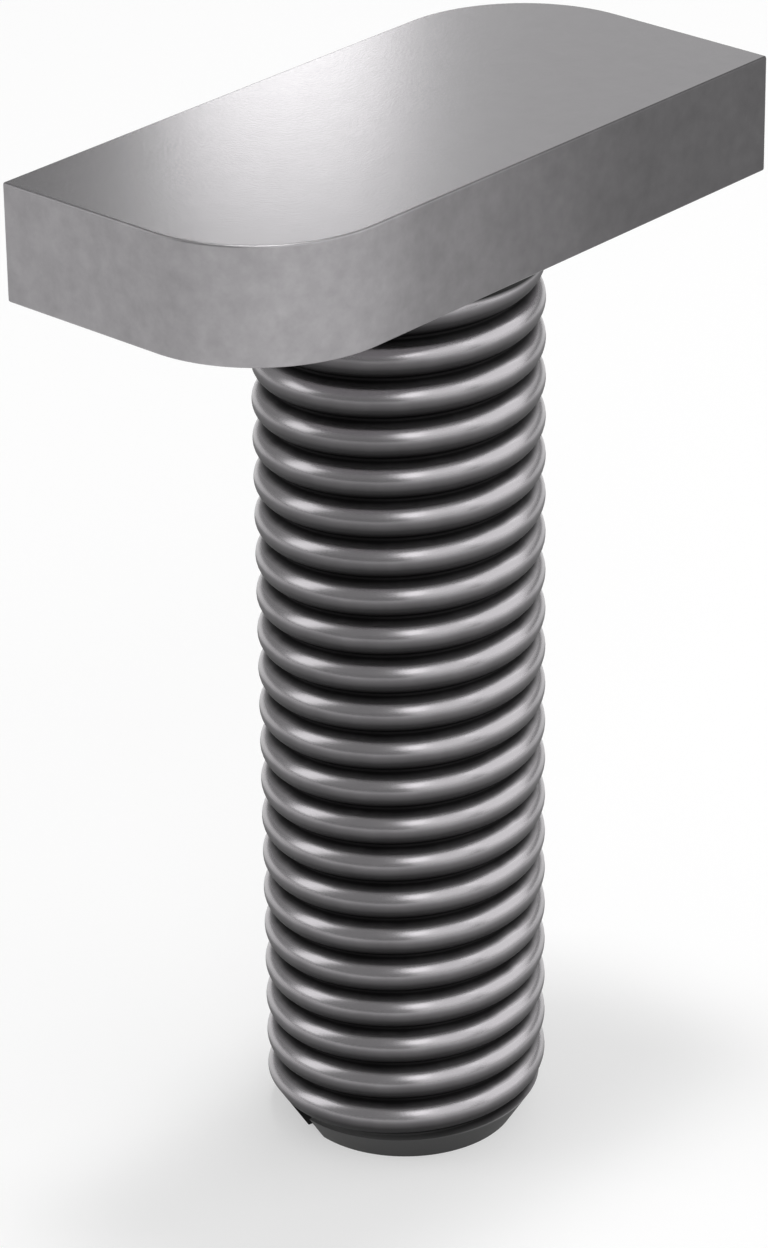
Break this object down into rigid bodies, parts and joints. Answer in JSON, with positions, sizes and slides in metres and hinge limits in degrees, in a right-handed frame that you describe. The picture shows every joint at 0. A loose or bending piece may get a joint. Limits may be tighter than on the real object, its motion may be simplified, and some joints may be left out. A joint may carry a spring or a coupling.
{
  "type": "t slot bolt",
  "caption": "T-slot bolt: a flat hammer head with opposed rounded corners on a threaded round shank, dropped into a slot and turned across it to lock.",
  "frame": {"origin": "on the shank's axis, in the plane of the head's underside, where the bolt bears on the slot's lips", "axes": "+Z along the shank's axis, from the tip to the head; +X along the head's long side"},
  "size_m": [0.03, 0.014, 0.0455],
  "materials": {
    "bolt_steel": "satin, bright-plated steel"
  },
  "bodies": {
    "root": {"t_slot_bolt": "bolt_steel"}
  },
  "joints": []
}
